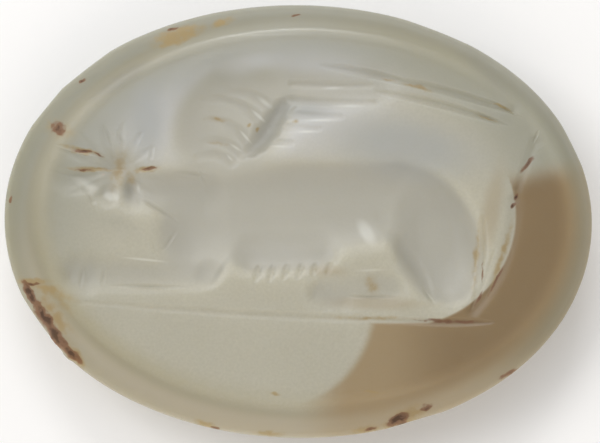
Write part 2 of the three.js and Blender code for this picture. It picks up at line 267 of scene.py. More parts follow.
groundAndTail = [
    dict(start=(-49.6, -16.8), end=(37, -21.4), bow=-0.01, wide=(0.9, 1.1), deep=(0.05, 0.12)),
    dict(start=(14, -20.8), end=(37, -21.5), bow=-0.01, wide=(0.9, 1), deep=(0.12, 0.18)),
    dict(start=(34.4, 0.9), end=(32.2, -19.2), bow=0.06, wide=(0.8, 0.9), deep=(0.2, 0.22)),
    dict(start=(36.8, -6.1), end=(32.6, -18.2), bow=0.03, wide=(0.8, 0.8), deep=(0.16, 0.2)),
    dict(start=(13.4, 0.6), end=(25, -17.6), bow=0.05, wide=(2.2, 1.6), deep=(0.08, 0.12)),
]


def engravedDepth(x, y):
    # mm: the large forms joined by roundedMax, plus lineShare of the deepest line at each place; with
    # it come the forms alone and how far inside the cut parts each place is
    u, v = toDrawing(x, y)
    forms = [cut(u, v, **form) for form in beast.values()]
    forms += [hollow(u, v, **form) for form in beastHollows.values()]
    for paw in paws:
        for i in range(paw["toes"]):
            at = (paw["at"][0] + paw["step"][0] * i, paw["at"][1] + paw["step"][1] * i)
            deep = paw["deep"] * (1 - paw["fade"] * i)
            forms.append(hollow(u, v, at, paw["long"], paw["wide"], deep, paw["turn"]))
    body = np.full_like(u, engraving["uncut"])
    for form in forms:
        body = roundedMax(body, np.maximum(form, engraving["uncut"]), engraving["polish"])

    lines = [cut(u, v, pointed=True, **line) for line in groundAndTail]
    for i in range(mane["locks"]):
        angle = (i + 0.5) * tau / mane["locks"]
        c, s = math.cos(angle), math.sin(angle)
        reach = 1 / math.hypot(c / mane["reachSide"][c > 0], s / mane["reachUp"][s > 0])
        ends = [(mane["centre"][0] + r * c, mane["centre"][1] + r * s) for r in (mane["inner"], reach)]
        lines.append(cut(u, v, *ends, **mane["shape"]))
    for group in feathers.values():
        shape = {name: value for name, value in group.items() if name != "lines"}
        lines += [cut(u, v, start, end, **shape) for start, end in group["lines"]]
    for i in range(bellyHair["strokes"]):
        t = i / (bellyHair["strokes"] - 1)
        top = (between(bellyHair["along"], t), between(bellyHair["height"], t))
        foot = (top[0] - bellyHair["lean"], top[1] - between(bellyHair["long"], t))
        lines.append(cut(u, v, top, foot, **bellyHair["shape"]))
    line = np.maximum.reduce([np.zeros_like(u)] + lines)

    worked = np.maximum(body, line * engraving["lineDull"][0] + engraving["lineDull"][1])
    body = roundedMax(body, 0, engraving["rimWear"])
    return engraving["depth"] * (body + engraving["lineShare"] * line), body, worked


# the mesh: the face as a square grid made oval, and rings from its edge down to the back

def faceGrid():
    # (p, q) in the square go to (p sqrt(1 - q^2/2), q sqrt(1 - p^2/2)) in the unit disc, then to the oval
    steps = np.linspace(-1, 1, stone["faceCells"] + 1)
    p, q = np.meshgrid(steps, steps)
    a, b = p * np.sqrt(1 - q ** 2 / 2), q * np.sqrt(1 - p ** 2 / 2)
    share = np.hypot(a, b) * (1 - stone["edgeRound"])
    x, y = ovalPoint(np.arctan2(b, a), stone["bevelWidth"])
    x, y = share * x + stone["faceShift"][0], share * y + stone["faceShift"][1]
    depth, body, worked = engravedDepth(x, y)
    z = stoneThickness - stone["faceDome"] * share ** 2 - depth
    return np.stack([x, y, z], axis=-1), body, worked


def ringPoints(angle, inset, height, shift, worn):
    # the oval's points at one height, moved with the face by shift (0 or 1) of its offset
    x, y = ovalPoint(angle, inset, worn)
    x, y = x + stone["faceShift"][0] * shift, y + stone["faceShift"][1] * shift
    return np.stack([x, y, np.full_like(x, height)], axis=-1)


def sideRows(rim, angle):
    # straight sides between corner rings, each swelled by 4 c t (1 - t), and each corner B replaced by
    # the curve (1 - t)^2 A + 2 t (1 - t) B + t^2 C between points a little way along its two sides
    edge = stoneThickness - stone["faceDome"]
    girdleTop = edge - stone["bevelDrop"]
    girdleFoot = girdleTop - stone["girdleBand"]
    corners = [
        ringPoints(angle, stone["bevelWidth"], edge, 1, 0),
        ringPoints(angle, 0, girdleTop, 0, 1),
        ringPoints(angle, 0, girdleFoot, 0, 1),
        ringPoints(angle, stone["backInset"] - stone["backEdge"], stone["backEdge"], 0, 0),
        ringPoints(angle, stone["backInset"], 0, 0, 0),
    ]
    crowns = [stone["bevelCrown"], 0, stone["sideCrown"], 0]
    middle = np.zeros_like(corners[0])
    path = [rim] + corners + [middle]
    rows = []
    for i in range(1, len(path) - 1):
        before, corner, after = path[i - 1:i + 2]
        first, last = i == 1, i == len(path) - 2
        near = corner + (before - corner) * (stone["edgeCurve"] if first else stone["cornerRound"])
        far = corner + (after - corner) * (stone["backCurve"] if last else stone["cornerRound"])
        for t in stone["edgeSteps"] if first else stone["cornerSteps"]:
            rows.append((1 - t) ** 2 * near + 2 * t * (1 - t) * corner + t ** 2 * far)
        if not last and stone["rowCounts"][i - 1]:
            end = after + (corner - after) * stone["cornerRound"]
            out = (corner + after) / 2
            out = out / np.linalg.norm(out, axis=-1, keepdims=True)
            for t in np.linspace(0, 1, stone["rowCounts"][i - 1] + 2)[1:-1]:
                rows.append(far + (end - far) * t + out * crowns[i - 1] * 4 * t * (1 - t))
    return rows


def gemSurface():
    # the face's grid, the rings of the sides sewn to its rim row by row, and a fan that closes the back
    face, body, worked = faceGrid()
    n = stone["faceCells"] + 1
    index = np.arange(n * n).reshape(n, n)
    rim = np.concatenate([index[0, :-1], index[:-1, -1], index[-1, :0:-1], index[:0:-1, 0]])
    points = face.reshape(-1, 3)
    steps = np.linspace(-1, 1, n)
    p, q = steps[rim % n], steps[rim // n]
    angle = np.arctan2(q * np.sqrt(1 - p ** 2 / 2), p * np.sqrt(1 - q ** 2 / 2))
    rows = sideRows(points[rim], angle)
    quads = [np.stack([index[:-1, :-1], index[:-1, 1:], index[1:, 1:], index[1:, :-1]], -1).reshape(-1, 4)]
    upper, count = rim, len(points)
    for row in rows:
        lower = count + np.arange(len(rim))
        quads.append(np.stack([upper, lower, np.roll(lower, -1), np.roll(upper, -1)], -1))
        upper, count = lower, count + len(rim)
    points = np.concatenate([points] + rows + [np.zeros((1, 3))])
    fan = np.stack([np.roll(upper, -1), upper, np.full(len(rim), count)], -1)
    quads = np.concatenate(quads)
    corners = np.concatenate([quads.ravel(), fan.ravel()])
    sizes = np.concatenate([np.full(len(quads), 4), np.full(len(fan), 3)])
    sides = len(points) - body.size
    body = np.concatenate([body.ravel(), np.zeros(sides)])
    worked = np.concatenate([worked.ravel(), np.full(sides, engraving["uncut"])])
    return points, corners, sizes, body, worked


# the clouding, stains and crust, and the painted light and shade, in the drawing's units

def unitsAway(u, v, centre, radius):
    # how far outside a circle
    return np.hypot(u - centre[0], v - centre[1]) - radius


brownZone = {
    "haunchCurve": ((18.5, 0.3), 22.6, 0.5),    # centre, radius, softness: it stops at the beast's rear
    "lowerCurve": ((-10.2, -17.2), 23.4, 1.6),  # and at a rounded edge below the ground line
    "groundLine": (-21.6, 0.5),  # height, softness
    "top": (8.6, 5, 0.26, 45),   # height, softness, slope, and the place along that has this height
    "left": (2, 9),           # place, softness
}


def brownDepth(u, v):
    # how far inside the clouding a point is: the least of its distances to the borders, each over its
    # softness; behind the rear and under the ground line count as one border, the larger of the two
    haunchAt, haunchRadius, haunchSoft = brownZone["haunchCurve"]
    lowerAt, lowerRadius, lowerSoft = brownZone["lowerCurve"]
    height, topSoft, slope, at = brownZone["top"]
    behind = unitsAway(u, v, haunchAt, haunchRadius) / haunchSoft
    under = (brownZone["groundLine"][0] - v) / brownZone["groundLine"][1]
    below = unitsAway(u, v, lowerAt, lowerRadius) / lowerSoft
    top = (height + slope * (u - at) - v) / topSoft
    left = (u - brownZone["left"][0]) / brownZone["left"][1]
    return np.minimum.reduce([np.maximum(behind, under), below, top, left])


# crust, stains and dirt in the lines, and painted light: painted shade in troughs, folds and beside
# cuts, painted glints on the cuts' ends, and painted sheen on the belly and the top of the face
marks = {                     # start, end, half width, strength
    "rust": [
        ((-55.8, -13.4), (-53, -18.6), 1.1, 1), ((-53.6, -17.4), (-50.4, -22.8), 1.6, 1),
        ((-51, -21.8), (-47.6, -27), 1.5, 1), ((-48, -26.4), (-44.6, -29.8), 1.1, 0.9),
        ((-56.2, -13.8), (-52, -13.6), 0.4, 0.5), ((-48.8, 18.2), (-48.5, 18.1), 1.8, 0.7),
        ((-46.4, 13.9), (-41.4, 13), 0.42, 0.6), ((-42, 13.2), (-39.4, 12.2), 0.3, 0.4),
        ((-46, 9.7), (-41.4, 9.6), 0.34, 0.42), ((-32.4, 9.6), (-29.2, 10.1), 0.42, 0.65),
        ((42, 9), (45, 12.7), 0.6, 0.5),
        ((40.8, 3.6), (41.6, 4.6), 0.5, 0.9), ((40.4, 1.8), (40.9, 2.8), 0.45, 0.8),
        ((16.8, -42.2), (19.8, -40.9), 1.5, 0.85), ((18, -42.8), (19.6, -42.2), 0.7, 0.8),
        ((23, -39.3), (24.4, -38.7), 0.9, 0.6), ((38.3, -33.2), (41.8, -31.2), 0.8, 0.6),
        ((11.6, -43.9), (13.8, -43.3), 0.6, 0.5), ((-18.6, -43.2), (-17.4, -43.5), 0.5, 0.7),
        ((-44.6, 27.8), (-43.8, 28.2), 0.5, 0.7), ((-3, 41.2), (-1.2, 41.2), 0.4, 0.8),
        ((-58.5, 3.4), (-58.3, 3.9), 0.5, 0.7), ((-27.4, 38.2), (-25.6, 38.8), 0.5, 0.7),
        ((19, -21), (36.8, -21.6), 0.6, 0.4), ((33, -18.6), (34.6, -14.6), 0.4, 0.4),
        ((34.9, -8), (34.4, -14), 0.35, 0.4), ((39.6, -8.5), (35.2, -17.2), 0.4, 0.4),
    ],
    "ochre": [
        ((-30.4, 35.6), (-20.4, 38.8), 2.1, 0.9), ((-29.4, 34.8), (-22.6, 36.8), 1.2, 0.8),
        ((-18.4, 39.2), (-14.4, 40.6), 1.2, 0.7), ((-47.2, 9.9), (-37, 9.5), 0.7, 0.9),
        ((-48.4, 14.6), (-39.6, 12.4), 0.9, 0.7), ((-34, 9.3), (-29, 10), 0.9, 0.8),
        ((-36.2, 12.4), (-37.6, 6.2), 2.6, 0.45), ((-35, 10), (-34.2, 5.8), 1.8, 0.32),
        ((-20.6, 20.2), (-14.6, 19.6), 0.7, 0.42), ((-19.6, 15.3), (-14.8, 14.7), 0.6, 0.36),
        ((-11.4, 18.6), (-11, 19), 0.55, 0.7), ((-9.8, 17.6), (-9.4, 18), 0.55, 0.8),
        ((-2.4, 19.3), (-1.8, 19.8), 0.6, 0.6), ((18.2, 27.6), (25, 25.4), 0.6, 0.6),
        ((14, 28.6), (18, 27.5), 0.5, 0.4), ((36, 23.6), (41.8, 20.7), 0.35, 0.5),
        ((32.6, 21.4), (38.6, 18.9), 0.3, 0.45), ((12.6, -13), (13.2, -14.6), 1.9, 0.55),
        ((-56, -13.2), (-45.4, -16.8), 2, 0.55), ((-53.4, -14.6), (-46, -25.4), 2.6, 0.5),
        ((-46.8, -27), (-44.2, -30.4), 1.6, 0.95),
        ((-57, -13.4), (-50, -13.2), 1.1, 0.8), ((-50.4, -14), (-46, -20), 1.6, 0.4),
        ((-21.6, -42.2), (-17.8, -43.6), 1.2, 0.8), ((-10.2, -44.4), (-4.4, -44.6), 1, 0.7),
        ((9, -44.4), (14.2, -43.4), 1.2, 0.7), ((16.4, -42.8), (23, -39.6), 2.6, 0.7),
        ((-50.4, 18.8), (-46.8, 16.8), 2.6, 0.42), ((-7, -35.8), (-5, -36.2), 0.5, 0.7),
        ((11.4, -35.6), (15, -36.2), 0.5, 0.6), ((34.2, 1.4), (32.6, -17.8), 0.8, 0.5),
        ((41.2, 1), (35.6, -17), 1, 0.55), ((0, -20.4), (24, -20.8), 0.6, 0.4),
    ],
    # dirt in the cut lines, and painted shade along the haunch's left wall and the foreleg's lower edge
    "dirtAndShadeLines": [
        ((-48.6, 14.6), (-39.6, 12.4), 0.6, 1), ((-46.8, 9.8), (-36, 9.7), 0.55, 0.9),
        ((-33.6, 9.4), (-28.8, 10.2), 0.6, 1), ((-33.2, 4.4), (-25.3, -0.9), 0.75, 1),
        ((-43.9, 7), (-41, 0.7), 0.8, 0.7), ((-39.6, 18.2), (-38, 14.1), 0.6, 0.7),
        ((-37.1, 17.4), (-35.7, 14.1), 0.6, 0.6), ((-30, 14.6), (-30.8, 10.4), 0.6, 0.5),
        ((-25.7, -3.2), (-28.4, -7.1), 0.6, 0.6), ((-30.5, -4.2), (-29.3, -8.1), 0.6, 0.4),
        ((-43.9, -10), (-44.4, -14.5), 0.6, 0.6), ((-39.6, -10.4), (-40, -14.1), 0.6, 0.5),
        ((8.4, -16.2), (17.1, -16.4), 0.6, 1), ((-38, -14.1), (-23.6, -14.4), 0.6, 0.9),
        ((22.4, -14.2), (25.3, -18), 0.6, 0.8), ((-25, 8.9), (-19.6, 8.4), 0.6, 0.5),
        ((-21.2, 9.6), (-20, 6.6), 0.5, 0.4), ((13.4, 0.6), (25.6, -18), 2.3, 0.5),
        ((36, 23.6), (42.3, 20.3), 0.4, 1), ((32.4, 21.5), (38.7, 19), 0.4, 1),
        ((45.6, 17.5), (44.7, 15.4), 0.4, 1),
    ],
    # painted shade: the wing's trough, the elbow, the cheek, under the head and on the upper bevels
    "paintedShade": [
        ((-3, 24.8), (-10.6, 12.4), 3.1, 1), ((-35.1, 8.4), (-35, 3.6), 1.8, 0.8),
        ((-15, -8), (-18.6, -13.6), 1, 0.7), ((29.4, 35.3), (44.3, 19.9), 3.2, 0.6),
        ((-43, 23.4), (-30.4, 32), 2, 1), ((-44, 1.2), (-31, -3), 4.2, 0.36),
    ],
    # painted highlights: glints on the coverts' ends, the groin, the hind foot's top, the head's cuts and the
    # face's top edge
    "paintedGlint": [
        ((10.8, -1.4), (12.8, -4.8), 1.9, 1), ((8, -11), (17, -10.7), 0.5, 0.5),
        ((-45.6, 7.8), (-41, 5.4), 1.4, 0.6),
        ((-39, 4.3), (-37.6, 4), 1.3, 1), ((-33.2, 7), (-32.8, 4.8), 0.6, 0.5),
        ((-37.4, -8.1), (-26, -9.3), 0.4, 0.8), ((-10.8, 22), (-8, 19.3), 0.5, 0.9),
        ((-13.2, 17.9), (-10.6, 14.8), 0.4, 0.9), ((-15.2, 15.1), (-12.4, 13.2), 0.4, 0.8),
        ((-15.6, 12.7), (-14.4, 11.4), 0.4, 0.7), ((-9.6, 24.6), (-6.6, 22.2), 0.8, 0.7),
        ((2.4, 26.2), (8, 26.4), 0.5, 0.6), ((4, 22.6), (13, 22.6), 0.5, 0.7),
        ((-1.4, 19.7), (6.6, 19.7), 0.5, 0.7), ((-2, 17.3), (2.3, 17.4), 0.45, 0.7),
        ((-7.4, 14.4), (-3.2, 14.4), 0.45, 0.7), ((-25.1, 36.6), (8, 37.6), 0.5, 0.3),
    ],
    # painted shade on the flat face, beside the wing and above the back
    "shadeVeil": [
        ((8, 16), (32, 12), 9, 1), ((-31, 25), (-31.4, 13), 5, 1), ((-5, 22), (5, 21.4), 3.4, 0.8),
    ],
    # painted warm shade beside the tail, above the ground line and over the hind foot
    "warmShade": [
        ((38.2, 11), (34.6, -8), 2.8, 1), ((2, -17.4), (25, -17.8), 2, 1), ((0.6, -11), (8, -11), 1.8, 0.8),
    ],
    # painted sheen: pale patches on the belly's wall and along the top of the face
    "sheenTone": [
        ((-10, -7.4), (3, -7.6), 4.6, 0.25), ((-24, 27), (-6, 35), 6, 0.24),
        ((-18, 29.8), (-5, 32.4), 3, 0.8),
    ],
}
crust = {
    "height": 0.07,           # mm, of the rust that stands on the edge
    "marks": 4,               # how many of the rust marks it covers
    "shore": 0.4,             # share of a mark's width over which it rises
    "ragged": 0.25,           # how far its shore strays
    "lumps": ((0.5, 0.5, 11), (0.18, 0.35, 12)),  # size in mm, strength and seed of each noise
}


def markDistance(u, v, start, end, half):
    # distance from the ellipse's centre, 1 at its edge: along it by half its length, across by half
    du, dv = end[0] - start[0], end[1] - start[1]
    long = math.hypot(du, dv)
    across = ((u - start[0]) * dv - (v - start[1]) * du) / long / half
    along = ((u - start[0]) * du + (v - start[1]) * dv) / long - long / 2
    return np.hypot(along / (long / 2 + half), across)


edgeBand = {                  # how strongly the olive band inside the bevel shows, by direction in degrees
    "at": (-180, -150, -90, -60, -20, 20, 50, 75, 100, 140, 180),
    "strength": (0.45, 0.5, 0.35, 0.2, 0.05, 0.05, 0.3, 0.3, 0.25, 0.45, 0.45),
}
outerDim = {                  # and how strongly the outermost edge is dimmed
    "at": (-180, -155, -125, -95, -50, -35, -20, 10, 35, 100, 150, 180),
    "strength": (0.9, 0.6, 0.3, 0, 0.1, 0.45, 0.85, 0.9, 0.2, 0.1, 0.5, 0.9),
}
zones = {                     # where a tone starts and where it is full
    "hollowDeep": (0.02, 0.4),     # by the depth of the forms
    "sheenUp": (-1, 6.5),           # mm up and across the face
    "sheenAcross": (6.5, -1),
    "heartIn": (-0.6, 0.8),        # by brownDepth, along the drawing, and mm from the outline
    "heartAlong": (8, 36),
    "heartRim": (0.1, 1.7),
    "workedIn": (-0.3, 0.15),      # by engravedDepth's last value
    "wornEdge": (-0.5, -0.1),      # mm past the face's edge, and mm up the face
    "wornUp": (6.4, 3.4),
    "bandFrom": (-0.9, 0.15),      # mm past the face's edge
    "bandTo": (0.35, 0.95),
    "tanRim": (1.3, 0.2),          # mm from the outline, and mm up the face
    "tanUp": (-3.5, -6.5),
    "outerRim": (1.2, 0.2),
    "dimShare": (0.6, 1.02),       # share of the way from the face's middle to its edge
    "dimUp": (-7, 3),
    "shadeEdge": (0.1, 0.6),        # mm past the face's edge, and mm up the face
    "glowEdge": (0.1, 0.7),
    "glowUp": (3, -5),
    "upperFade": 0.3,              # mm under the girdle over which the marks end
}
wayOut = {                    # of the stone, along which the waves and the crust move its surface
    "spread": (1, 1, 1.5),    # of x / length^2, y / width^2 and z / length^2
    "rise": 0.004,            # added to the last above levelTo; below it the way is level
    "levelTo": 1,             # mm
    "stillTo": 0.3,           # mm, under which nothing is waved
}


def strengthAt(table, angle):
    # straight lines between the given directions
    return np.interp(np.degrees(angle), table["at"], table["strength"])


def toneMasks(points, body, worked, upper):
    # products of smoothSteps of the height, of the distances from the face's edge and the outline, of
    # the cutting's depth and of brownDepth; a share is a place's radius over the oval's there
    x, y = points[:, 0], points[:, 1]
    u, v = toDrawing(x, y)
    faceX, faceY = x - stone["faceShift"][0], y - stone["faceShift"][1]
    faceShare = np.hypot(faceX / (stoneLength / 2 - stone["bevelWidth"]),
                         faceY / (stoneWidth / 2 - stone["bevelWidth"])) + leastShare
    outlineShare = np.hypot(x / (stoneLength / 2), y / (stoneWidth / 2)) + leastShare
    pastEdge = np.hypot(faceX, faceY) * (1 - 1 / faceShare)
    fromRim = np.hypot(x, y) * (1 / outlineShare - 1)

    brown = brownDepth(u, v)
    hollowShare = smoothStep(*zones["hollowDeep"], body)
    # painted sheen: the face lighter and bluer towards its top, as if it reflected a lamp above
    sheenTone = smoothStep(*zones["sheenUp"], y) * smoothStep(*zones["sheenAcross"], x)
    heart = smoothStep(*zones["heartIn"], brown) * smoothStep(*zones["heartAlong"], u)
    wornEdge = smoothStep(*zones["wornEdge"], pastEdge) * smoothStep(*zones["wornUp"], y)
    band = smoothStep(*zones["bandFrom"], pastEdge) * (1 - smoothStep(*zones["bandTo"], pastEdge))
    outer = smoothStep(*zones["outerRim"], fromRim)
    return {
        # by the depth of the forms; it carries the painted shade of the hollows
        "hollowShare": hollowShare,
        # the painted sheen stays out of the hollows
        "paintedSheen": sheenTone * (1 - hollowShare),
        "brown": brown,
        "brownHeart": heart * smoothStep(*zones["heartRim"], fromRim),
        "upper": upper,
        "worked": np.maximum(smoothStep(*zones["workedIn"], worked), wornEdge),
        "rimBand": band * strengthAt(edgeBand, np.arctan2(faceY, faceX)),
        "rimTan": smoothStep(*zones["tanRim"], fromRim) * smoothStep(*zones["tanUp"], y),
        "rimOuter": outer * strengthAt(outerDim, np.arctan2(y, x)),
        # painted shade on the face's outer part towards the top, where the sheen does not reach
        "rimShade": smoothStep(*zones["dimShare"], faceShare) * smoothStep(*zones["dimUp"], y),
        # painted shade over the bevel
        "bevelShade": smoothStep(*zones["shadeEdge"], pastEdge),
        # painted glow on the lower bevel, the light that comes through the stone
        "rimGlow": smoothStep(*zones["glowEdge"], pastEdge) * smoothStep(*zones["glowUp"], y),
    }


def liftedPoints(points, upper):
    # each point moved out by the grinding's waves and, in the first rust marks, by the crust's height
    # (1 + r) s, s being a smoothStep of the depth inside a mark and r the lumps' noise
    u, v = toDrawing(points[:, 0], points[:, 1])
    ragged = sum(cloudNoise(points, size, seed) * strength for size, strength, seed in crust["lumps"])
    coarse, fine = stone["grindMm"]
    waves = cloudNoise(points, coarse, stone["seed"])
    waves = waves + stone["grindFine"] * cloudNoise(points, fine, stone["seed"] + 1)
    flake = np.maximum.reduce([1 - markDistance(u, v, *mark[:3]) for mark in marks["rust"][:crust["marks"]]])
    flake = smoothStep(0, crust["shore"], flake + crust["ragged"] * ragged) * upper * (1 + ragged)
    outward = points / np.array([stoneLength ** 2, stoneWidth ** 2, stoneLength ** 2]) * wayOut["spread"]
    outward[:, 2] = np.where(points[:, 2] > wayOut["levelTo"], outward[:, 2] + wayOut["rise"], 0)
    outward /= np.linalg.norm(outward, axis=1, keepdims=True) + tiny
    ground = stone["grindWave"] * waves * (points[:, 2] > wayOut["stillTo"])
    return points + outward * (ground + crust["height"] * flake)[:, None]


def buildGem():
    # the surface, with each tone's value on every point
    points, corners, sizes, body, worked = gemSurface()
    girdleFoot = stoneThickness - stone["faceDome"] - stone["bevelDrop"] - stone["girdleBand"]
    upper = smoothStep(girdleFoot - zones["upperFade"], girdleFoot, points[:, 2])
    masks = toneMasks(points, body, worked, upper)

    mesh = bpy.data.meshes.new("engravedStone")
    mesh.vertices.add(len(points))
    mesh.vertices.foreach_set("co", (liftedPoints(points, upper) * mm).astype(np.float32).ravel())
    mesh.loops.add(len(corners))
    mesh.loops.foreach_set("vertex_index", corners.astype(np.int32))
    mesh.polygons.add(len(sizes))
    mesh.polygons.foreach_set("loop_start", (np.cumsum(sizes) - sizes).astype(np.int32))
    mesh.polygons.foreach_set("use_smooth", np.ones(len(sizes), bool))
    mesh.update(calc_edges=True)
    mesh.validate()
    for name, values in masks.items():
        layer = mesh.attributes.new(name, "FLOAT", "POINT")
        layer.data.foreach_set("value", values.astype(np.float32))
    gem = bpy.data.objects.new("engravedStone", mesh)
    bpy.context.scene.collection.objects.link(gem)
    return gem


# materials

def addNode(tree, kind, settings=None, values=None, links=None):
    # sockets by name, or by number where names repeat: 0 is a Mix's share, 2 and 3 its numbers, 6 and 7
    # its colours
    node = tree.nodes.new("ShaderNode" + kind)
    for name, value in (settings or {}).items():
        setattr(node, name, value)
    for socket, value in (values or {}).items():
        node.inputs[socket].default_value = value
    for socket, source in (links or {}).items():
        tree.links.new(source, node.inputs[socket])
    return node


def newMaterial(name):
    # a material with an empty node tree
    material = bpy.data.materials.new(name)
    material.use_nodes = True
    material.node_tree.nodes.clear()
    return material, material.node_tree


def fromDrawing(u, v):
    # the reverse of toDrawing, in metres
    c, s = math.cos(math.radians(engraving["turn"])), math.sin(math.radians(engraving["turn"]))
    along = u / engraving["size"][0] * fieldLength + stone["faceShift"][0]
    across = v / engraving["size"][1] * fieldWidth + stone["faceShift"][1]
    return (along * c - across * s) * mm, (along * s + across * c) * mm


def addMarks(tree, place, ellipses):
    # the strongest of them: each is strength (1 - r), r being 0 at its middle and 1 at its edge
    total = None
    for start, end, half, strength in ellipses:
        x0, y0 = fromDrawing(*start)
        x1, y1 = fromDrawing(*end)
        wide = half / engraving["size"][0] * fieldLength * mm
        inEllipse = addNode(tree, "Mapping", {"vector_type": "TEXTURE"}, {
            "Location": ((x0 + x1) / 2, (y0 + y1) / 2, 0),
            "Rotation": (0, 0, math.atan2(y1 - y0, x1 - x0)),
            "Scale": (math.hypot(x1 - x0, y1 - y0) / 2 + wide, wide, 1),
        }, {"Vector": place}).outputs[0]
        blob = addNode(tree, "TexGradient", {"gradient_type": "SPHERICAL"},
                       links={"Vector": inEllipse}).outputs["Fac"]
        blob = addNode(tree, "Math", {"operation": "MULTIPLY"}, {1: strength}, {0: blob}).outputs[0]
        if total:
            blob = addNode(tree, "Math", {"operation": "MAXIMUM"}, links={0: blob, 1: total}).outputs[0]
        total = blob
    return total


# Chalcedony, ground with emery and polished: a waxy gloss, a milky body that light soaks into, and
# clouds. IOR 1.54. The cut hollows were never polished as well, so they are duller; their darker, warmer
# tone is painted shade, and dirt lies in some of their lines.
chalcedony = {
    "body": "c3bfae",
    "bodyDeep": "aaa695",
    # painted sheen on the upper face
    "paintedSheen": "cccdd0",
    # painted shade in the hollows: darker and warmer than the face
    "hollow": "b3b0a4",
    # painted shade on the face's upper outer part
    "rimShade": "9b9a8b",
    # painted shade over the bevel
    "bevelShade": "8f8e80",
    # painted glow on the lower bevel, the light that comes through the stone
    "rimGlow": "b3ab97",
    "rimBand": "998e6a",
    "rimOuter": "8c8a76",
    "rimTan": "bab09a",
    "brownEdge": "9d8762",
    "brownCore": "735a34",
    "ochre": "a38c5b",
    "rust": "7a5233",
    "rustDark": "3f2717",
    # dirt in the lines, and painted shade
    "lineDirtAndShade": "8a8572",
    # painted shade
    "paintedShade": "85847a",
    # painted highlights
    "paintedGlint": "dcdcd4",
    # painted sheen patches
    "sheenTone": "c4c5c4",
    # painted shade on the flat face
    "shadeVeil": "a9aaa6",
    # painted warm shade
    "warmShade": "aba088",
    "patchMm": 0.3,           # size of the crust's and stains' patches
    "patchFrom": (0.35, 0.65),  # the noise's values that are thinnest and thickest
    "patchTo": (0.6, 1.4),    # and the mark's strength there
    "wanderMm": 0.35,         # size of the waves in a mark's outline, and how far they carry it
    "strayMm": 0.2,
    "cloudMm": 5,
    "grainMm": 0.1,           # the stone's own grain is finer than shows
    "mottle": 0.6,            # share of the fine grain in the colour, against the broad clouds
    "bumpMm": 0.003,          # height of the grain, and depth of the lines of dirt and painted shade
    "hairMm": 0.05,
    "ior": 1.54,
    "polishRoughness": 0.29,
    "hollowRoughness": 0.42,
    "rustRoughness": 0.85,
    "soak": 1.0,
    "soakMm": (2.6, 2.4, 2.0),
}
layers = [                    # mask, where it starts and where it is full, strength, colour
    # painted sheen over the upper face
    ("paintedSheen", 0, 1, 0.9, "paintedSheen"),
    # painted shade in the hollows
    ("hollowShare", 0, 1, 0.8, "hollow"),
    # painted shade on the face's upper outer part
    ("rimShade", 0, 1, 0.8, "rimShade"),
    # painted shade over the bevel
    ("bevelShade", 0, 1, 0.7, "bevelShade"),
    # painted glow on the lower bevel
    ("rimGlow", 0, 1, 0.9, "rimGlow"),
    ("rimBand", 0, 1, 1, "rimBand"),
    ("brown", -0.6, 0.8, 0.88, "brownEdge"),
    ("brownHeart", 0.05, 0.95, 0.56, "brownCore"),
    ("rimTan", 0, 1, 0.5, "rimTan"),
    ("rimOuter", 0, 1, 0.65, "rimOuter"),
    # painted sheen patches
    ("sheenTone", 0, 0.8, 0.5, "sheenTone"),
    # painted shade on the flat face
    ("shadeVeil", 0, 0.8, 0.75, "shadeVeil"),
    # painted warm shade
    ("warmShade", 0, 0.8, 0.7, "warmShade"),
    # dirt in the lines, and painted shade
    ("dirtAndShadeLines", 0.1, 0.9, 0.3, "lineDirtAndShade"),
    # painted shade
    ("paintedShade", 0, 0.8, 0.42, "paintedShade"),
    # painted highlights
    ("paintedGlint", 0.05, 0.7, 0.45, "paintedGlint"),
    ("ochre", 0, 0.6, 0.75, "ochre"),
    ("rust", 0.06, 0.3, 0.85, "rust"),
    ("rust", 0.3, 0.75, 0.8, "rustDark"),
]


